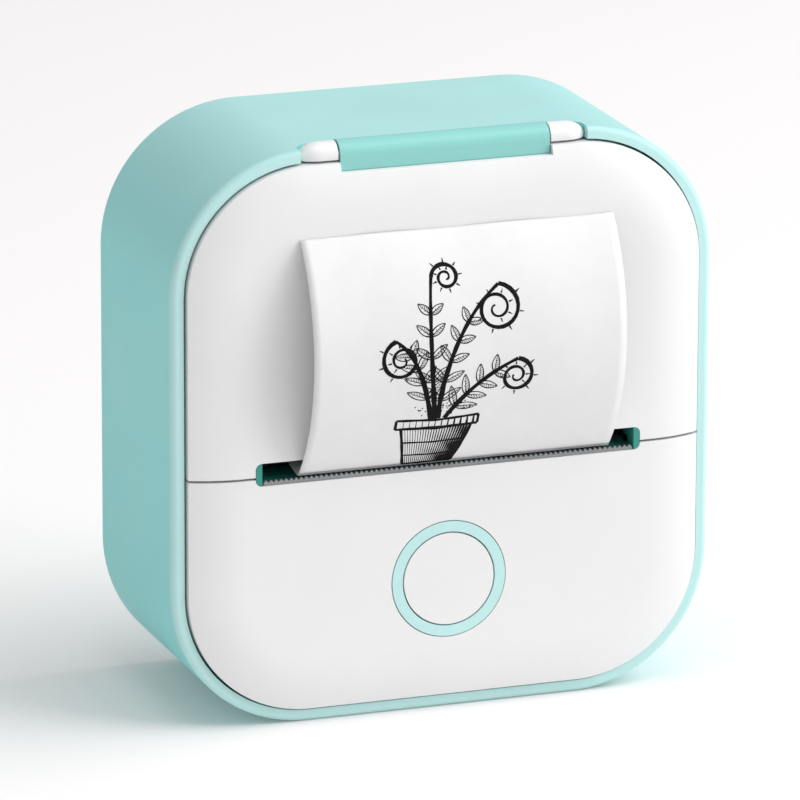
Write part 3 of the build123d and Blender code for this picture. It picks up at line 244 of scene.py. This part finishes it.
def two_zone(name, outer, inner, low, high, axis, rough, painted_top_sheen=None):
    """Mint moulding with painted light: outer colour below low and inner above high along an axis, in
    metres, and a paler colour for the top, if given, mixed in by how far the normal points up as a painted
    top sheen.
    """
    material, tree, shader = new_material(name)
    place = tree.nodes.new("ShaderNodeTexCoord")
    split = tree.nodes.new("ShaderNodeSeparateXYZ")
    tree.links.new(place.outputs["Object"], split.inputs["Vector"])
    zone = rescale(tree, split.outputs[axis], low, high, 0.0, 1.0)
    broad = noise(tree, coordinates(tree), 60.0)
    shade = rescale(tree, broad, 0.0, 1.0, 0.94, 1.0)
    base = ramp(tree, zone, [(0.0, outer), (1.0, inner)])
    # Painted top sheen: faces whose normal points up are mixed towards the paler top colour.
    if painted_top_sheen:
        facing = tree.nodes.new("ShaderNodeSeparateXYZ")
        tree.links.new(tree.nodes.new("ShaderNodeNewGeometry").outputs["Normal"], facing.inputs["Vector"])
        top_sheen_mix = tree.nodes.new("ShaderNodeMix")
        top_sheen_mix.data_type = "RGBA"
        top_sheen_mix.clamp_factor = True
        tree.links.new(facing.outputs["Z"], top_sheen_mix.inputs["Factor"])
        tree.links.new(base, top_sheen_mix.inputs["A"])
        top_sheen_mix.inputs["B"].default_value = (*painted_top_sheen, 1)
        base = top_sheen_mix.outputs["Result"]
    shader.inputs["Specular IOR Level"].default_value = 0.3
    toned = tree.nodes.new("ShaderNodeVectorMath")
    toned.operation = "SCALE"
    tree.links.new(base, toned.inputs[0])
    tree.links.new(shade, toned.inputs["Scale"])
    tree.links.new(toned.outputs["Vector"], shader.inputs["Base Color"])
    tree.links.new(spread(tree, broad, rough[0], rough[1]), shader.inputs["Roughness"])
    relief(tree, shader, noise(tree, coordinates(tree), 4000.0, 2.0), 0.12, 0.00005, 0.00012)
    return material


# Cover frame: deeper mint on the hinge barrel above 65 mm; below 60 mm the slot lining and cheeks are a dark
# green painted shade.
FINISHES["barrel_mint_painted_lining_shade"] = two_zone("barrel_mint_painted_lining_shade", (0.04, 0.30, 0.25), (0.275, 0.63, 0.59), 0.060, 0.065, "Z",
                                   (0.26, 0.34))
# Slot floor: painted shade of the slot interior, mid green at the front and a deep green behind, on a mint
# moulding.
FINISHES["slot_painted_shade"] = two_zone("slot_painted_shade", (0.13, 0.46, 0.39), (0.02, 0.20, 0.16),
                                 (RIM_Y - 2.3) * MM, (RIM_Y - 2.0) * MM, "Y", (0.4, 0.5))
# Housing mint with painted sheen: the front rim zone is a paler mint standing in for the sheen of light on
# it, and faces pointing up are mixed to a paler mint as a painted top sheen; the sides and back keep the
# plain mint.
FINISHES["housing_mint_painted_sheen"] = two_zone("housing_mint_painted_sheen", (0.53, 0.82, 0.80), (0.27, 0.75, 0.735),
                                    (RIM_Y + 0.5) * MM, (RIM_Y + 1.6) * MM, "Y", (0.36, 0.46),
                                    (0.42, 0.745, 0.735))
# The button ring's paler mint is a painted sheen on the front-facing ring, like the housing's front rim.
OWN_FINISH = {"paper_roll": "paper_roll", "cover_frame": "barrel_mint_painted_lining_shade", "button_ring": "mint_pale",
              "slot_floor": "slot_painted_shade", "housing": "housing_mint_painted_sheen", "back_cover": "housing_mint_painted_sheen"}
slots = {s["node"]: s["material_slot"] for s in frame["record"]["subparts"]}


def dress(piece, finish):
    """Give a piece one finish."""
    piece.data.materials.clear()
    piece.data.materials.append(FINISHES[finish])


for node_name, node in NODES.items():
    dress(node, OWN_FINISH.get(node_name, slots[node_name]))


# Paper strip standing out of the slot, bowed forward, with its print

STRIP_START = (-1.85, 38.35)
STRIP_END = (-2.75, 73.6)
STRIP_BOW = 6.6
STRIP_X = 1.0
STRIP_WIDTH = 48.0
STRIP_OUT = 0.07
RIPPLE = 0.09
RIPPLE_START = 12
PAPER = 0.12
chord = Vector((STRIP_END[0] - STRIP_START[0], STRIP_END[1] - STRIP_START[1]))
half_chord = chord.length / 2
STRIP_R = (half_chord**2 + STRIP_BOW**2) / (2 * STRIP_BOW)
along_chord = chord.normalized()
backwards = Vector((along_chord[1], -along_chord[0]))
strip_middle = (Vector(STRIP_START) + Vector(STRIP_END)) / 2
strip_centre = strip_middle + backwards * (STRIP_R - STRIP_BOW)
half_turn = math.asin(half_chord / STRIP_R)
STRIP_LENGTH = 2 * half_turn * STRIP_R
forward_angle = math.atan2(-backwards[1], -backwards[0])


def on_strip(u, v, lift):
    """Point on the bowed strip: u across from its middle, v along it from the slot, in millimetres."""
    angle = forward_angle + half_turn - v / STRIP_R
    ripple = RIPPLE * (1 - math.cos(u * 0.33 + v * 0.1)) * min(1.0, v / RIPPLE_START)
    radius = STRIP_R + STRIP_OUT + lift - ripple
    side = strip_centre + Vector((math.cos(angle), math.sin(angle))) * radius
    return row(STRIP_X + u, side[0], side[1])


def mesh_piece(name, points, faces, finish):
    """Mesh object from points and faces with one finish."""
    mesh = bpy.data.meshes.new(name)
    mesh.from_pydata([tuple(p) for p in points], [], faces)
    mesh.update()
    piece = bpy.data.objects.new(name, mesh)
    bpy.context.scene.collection.objects.link(piece)
    for polygon in mesh.polygons:
        polygon.use_smooth = True
    mesh.materials.append(FINISHES[finish])
    return piece


def sheet_mesh(name, across, up, finish):
    """Thin sheet on the strip's bow with a front, a back and four edges."""
    points = []
    for lift in (0.0, -PAPER):
        for j in range(up + 1):
            for i in range(across + 1):
                points.append(on_strip(STRIP_WIDTH * (i / across - 0.5), STRIP_LENGTH * j / up, lift))
    row_count = across + 1
    back = row_count * (up + 1)
    faces = []
    for j in range(up):
        for i in range(across):
            a = j * row_count + i
            faces.append((a, a + 1, a + 1 + row_count, a + row_count))
            faces.append((back + a, back + a + row_count, back + a + 1 + row_count, back + a + 1))
    rim = list(range(row_count))
    rim += [j * row_count + across for j in range(1, up + 1)]
    rim += [up * row_count + i for i in range(across - 1, -1, -1)]
    rim += [j * row_count for j in range(up - 1, 0, -1)]
    for a, b in zip(rim, rim[1:] + rim[:1]):
        faces.append((b, a, back + a, back + b))
    return mesh_piece(name, points, faces, finish)


strip = sheet_mesh("strip", 40, 60, "paper")
EDGE_AREA = 0.2e-6
for polygon in strip.data.polygons:
    polygon.use_smooth = polygon.area > EDGE_AREA
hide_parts("printed_strip")
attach(strip, "cover")

# Print: a fern in a ribbed pot, in pen strokes
INK_LIFT = 0.02
STROKE_STEP = 0.5
ink_points = []
ink_faces = []
random.seed(11)


def stroke(path, width, taper=(1.0, 1.0)):
    """Flat pen stroke along a path of u and v, its ends narrowed by taper."""
    fine = [path[0]]
    for before, after in zip(path, path[1:]):
        pieces = max(1, int(math.dist(before, after) / STROKE_STEP))
        fine += [tuple(a + (b - a) * k / pieces for a, b in zip(before, after))
                 for k in range(1, pieces + 1)]
    path = fine
    count = len(path)
    base = len(ink_points)
    for k, point in enumerate(path):
        before = path[max(k - 1, 0)]
        after = path[min(k + 1, count - 1)]
        heading = Vector((after[0] - before[0], after[1] - before[1]))
        if heading.length < 1e-9:
            heading = Vector((1, 0))
        heading.normalize()
        t = k / max(count - 1, 1)
        half = width / 2 * (taper[0] * (1 - t) + taper[1] * t)
        half *= 1 + 0.12 * math.sin(k * 0.9 + base)
        for sign in (1, -1):
            u = point[0] - sign * heading[1] * half
            v = point[1] + sign * heading[0] * half
            ink_points.append(on_strip(u, v, INK_LIFT))
    for k in range(count - 1):
        a = base + 2 * k
        ink_faces.append((a, a + 1, a + 3, a + 2))


def curve(p0, p1, p2, p3, steps=16):
    """Cubic curve through four control points."""
    path = []
    for k in range(steps + 1):
        t = k / steps
        s = 1 - t
        path.append(tuple(s**3 * a + 3 * s * s * t * b + 3 * s * t * t * c + t**3 * d
                          for a, b, c, d in zip(p0, p1, p2, p3)))
    return path


def spiral(centre, radius, start, turns, steps=44):
    """Spiral winding inwards from radius; turns below zero wind clockwise."""
    path = []
    for k in range(steps + 1):
        t = k / steps
        angle = math.radians(start) + 2 * math.pi * turns * t
        reach = radius * (1 - 0.86 * t)
        path.append((centre[0] + reach * math.cos(angle), centre[1] + reach * math.sin(angle)))
    return path


def leaf(root, angle, length, width):
    """Pointed leaf with a midrib and hatching on its lower half."""
    a = math.radians(angle)
    heading = (math.cos(a), math.sin(a))
    side = (-heading[1], heading[0])

    def at(s, t):
        return (root[0] + heading[0] * s * length + side[0] * t * width,
                root[1] + heading[1] * s * length + side[1] * t * width)

    for sign in (1, -1):
        stroke(curve(at(0, 0), at(0.25, sign * 0.75), at(0.7, sign * 0.6), at(1, 0), 10), 0.2, (1, 0.6))
    stroke([at(0, 0), at(0.5, 0.02), at(0.92, 0)], 0.14, (1, 0.4))
    for k in range(1, 8):
        s = k / 8
        reach = 2.1 * s * (1 - s) * (1.15 - 0.4 * s)
        stroke([at(s, 0), at(min(s + 0.1, 1), -reach * 0.92)], 0.11, (1, 0.5))
        if k % 2:
            stroke([at(s, 0), at(min(s + 0.08, 1), reach * 0.55)], 0.08, (1, 0.3))


def frond(stem, head, radius, start, turns, leaves):
    """Stem with two edges, leaves in pairs along it, and a curled head."""
    stroke(stem, 0.85, (1.0, 0.55))
    for k in leaves:
        point = stem[k]
        after = stem[k + 1]
        angle = math.degrees(math.atan2(after[1] - point[1], after[0] - point[0]))
        size = 3.9 - 0.1 * k
        leaf(point, angle + 52, size, 1.1)
        leaf(point, angle - 52, size, 1.1)
    curl = spiral(head, radius, start, turns)
    stroke(curl, 0.78, (0.85, 0.35))
    for k in range(3, 34, 3):
        x, y = curl[k]
        out = Vector((x - head[0], y - head[1])).normalized()
        stroke([(x + out[0] * reach, y + out[1] * reach) for reach in (0.35, 1.0)], 0.28, (1, 0.3))


POT_U = -4.5
for low, high, foot, lip, sag in ((0.15, 8.0, 3.7, 5.4, 0.0), (8.0, 9.6, 6.3, 6.3, 0.1)):
    for sign in (-1, 1):
        stroke([(POT_U + sign * foot, low), (POT_U + sign * lip, high)], 0.45)
    stroke([(POT_U - lip, high), (POT_U, high - 0.35), (POT_U + lip, high)], 0.42)
    stroke([(POT_U - foot, low), (POT_U, low - sag), (POT_U + foot, low)], 0.42)
for k in range(26):
    share = k / 25
    lean = 2 * share - 1
    strong = 0.10 + 0.34 * share**2
    stroke([(POT_U + 3.6 * lean, 0.3), (POT_U + 5.2 * lean, 7.9)], strong, (1, 0.8))
    if k % 2 == 0:
        stroke([(POT_U + 6.1 * lean, 8.15), (POT_U + 6.1 * lean, 9.35)], strong, (1, 0.7))
for band in (2.4, 5.2):
    stroke([(POT_U - 4.0 - band * 0.17, band), (POT_U, band - 0.3), (POT_U + 4.0 + band * 0.17, band)], 0.32)

frond(curve((POT_U, 9.5), (POT_U - 0.5, 17), (-1.5, 25), (4.6, 29.4), 22), (4.1, 25.9), 3.6, 82, -1.9,
      (3, 6, 9, 12, 15))
frond(curve((POT_U - 1, 9.5), (POT_U - 2.5, 15), (-8, 20), (-11.6, 22.4), 18), (-10.6, 19.4), 3.1, 108, 1.8,
      (4, 7, 10, 13))
frond(curve((POT_U + 1, 9.5), (POT_U + 3, 13), (2, 16), (7.2, 18.2), 16), (7.0, 15.5), 2.7, 85, -1.8,
      (3, 6, 9, 12))
frond(curve((POT_U - 0.4, 9.5), (POT_U - 2, 18), (-6.5, 26), (-5.5, 31.2), 20), (-3.3, 31.0), 2.2, 175, -1.7,
      (5, 8, 11, 14))
for k in range(46):
    angle = random.uniform(0, 2 * math.pi)
    reach = random.uniform(0.2, 3.4)
    u, v = POT_U + reach * math.cos(angle) * 1.4, 11.2 + reach * math.sin(angle) * 0.5
    stroke([(u, v), (u + 0.16, v + 0.1)], 0.2)

ink = mesh_piece("ink", ink_points, ink_faces, "ink")
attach(ink, "cover")

# Springs of the print head, copied into a mesh of their own on the body
springs = NODES["head_springs"].copy()
springs.data = NODES["head_springs"].data.copy()
springs.name = "springs"
springs.parent = None
springs.matrix_world = NODES["head_springs"].matrix_world.copy()
bpy.context.scene.collection.objects.link(springs)
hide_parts("head_springs")
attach(springs, "body")
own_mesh(springs)

# Stage: pale floor, soft key from the right, white surround

FLOOR_Z = -0.04 * MM
floor_mesh = bpy.data.meshes.new("floor")
floor_mesh.from_pydata([(x, y, FLOOR_Z) for x, y in ((-5, -3), (5, -3), (5, 9), (-5, 9))], [],
                       [(0, 1, 2, 3)])
floor = bpy.data.objects.new("floor", floor_mesh)
bpy.context.scene.collection.objects.link(floor)
floor_material, floor_tree, floor_shader = new_material("floor")
floor_shader.inputs["Base Color"].default_value = (0.84, 0.82, 0.82, 1)
floor_shader.inputs["Roughness"].default_value = 1.0
floor_shader.inputs["Specular IOR Level"].default_value = 0.0
floor_shader.inputs["Emission Color"].default_value = (1, 1, 1, 1)
floor_shader.inputs["Emission Strength"].default_value = 0.09
floor_mesh.materials.append(floor_material)

MIDDLE = row(0, 17.2, 43)


def area_light(name, direction, distance, size, watts):
    """Square lamp aimed at the object from a direction."""
    lamp = bpy.data.lights.new(name, "AREA")
    lamp.shape = "SQUARE"
    lamp.size = size
    lamp.energy = watts
    holder = bpy.data.objects.new(name, lamp)
    bpy.context.scene.collection.objects.link(holder)
    away = Vector(direction).normalized()
    holder.location = MIDDLE + away * distance
    holder.rotation_mode = "QUATERNION"
    holder.rotation_quaternion = away.to_track_quat("Z", "Y")
    return holder


key = area_light("key", (0.80, -0.36, 0.66), 1.5, 1.4, 21.5)
top = area_light("top", (0.0, -0.25, 1.0), 1.4, 0.9, 5.0)

world = bpy.data.worlds.new("surround")
bpy.context.scene.world = world
world.use_nodes = True
background = world.node_tree.nodes["Background"]
background.inputs["Strength"].default_value = 1.0
path = world.node_tree.nodes.new("ShaderNodeLightPath")
blend = world.node_tree.nodes.new("ShaderNodeMix")
blend.data_type = "RGBA"
blend.inputs["A"].default_value = (0.46, 0.462, 0.465, 1)
blend.inputs["B"].default_value = (1.0, 1.0, 1.0, 1)
world.node_tree.links.new(path.outputs["Is Camera Ray"], blend.inputs["Factor"])
world.node_tree.links.new(blend.outputs["Result"], background.inputs["Color"])

CAMERA_AWAY = 1.18
azimuth, elevation, roll = math.radians(-19.86), math.radians(16.15), math.radians(0.22)
lens = bpy.data.cameras.new("camera")
lens.lens = 360.45
lens.sensor_width = 36
lens.shift_x = -0.0045
lens.shift_y = -0.00725
lens.clip_start = 0.05
lens.clip_end = 50
camera = bpy.data.objects.new("camera", lens)
bpy.context.scene.collection.objects.link(camera)
behind = Vector((math.sin(azimuth) * math.cos(elevation), -math.cos(azimuth) * math.cos(elevation),
                 math.sin(elevation)))
camera.location = MIDDLE + behind * CAMERA_AWAY
camera.rotation_mode = "QUATERNION"
look = (-behind).to_track_quat("-Z", "Y")
camera.rotation_quaternion = look
camera.rotation_mode = "XYZ"
camera.rotation_euler.rotate_axis("Z", roll)
bpy.context.scene.camera = camera
bpy.context.scene.view_settings.view_transform = "Standard"
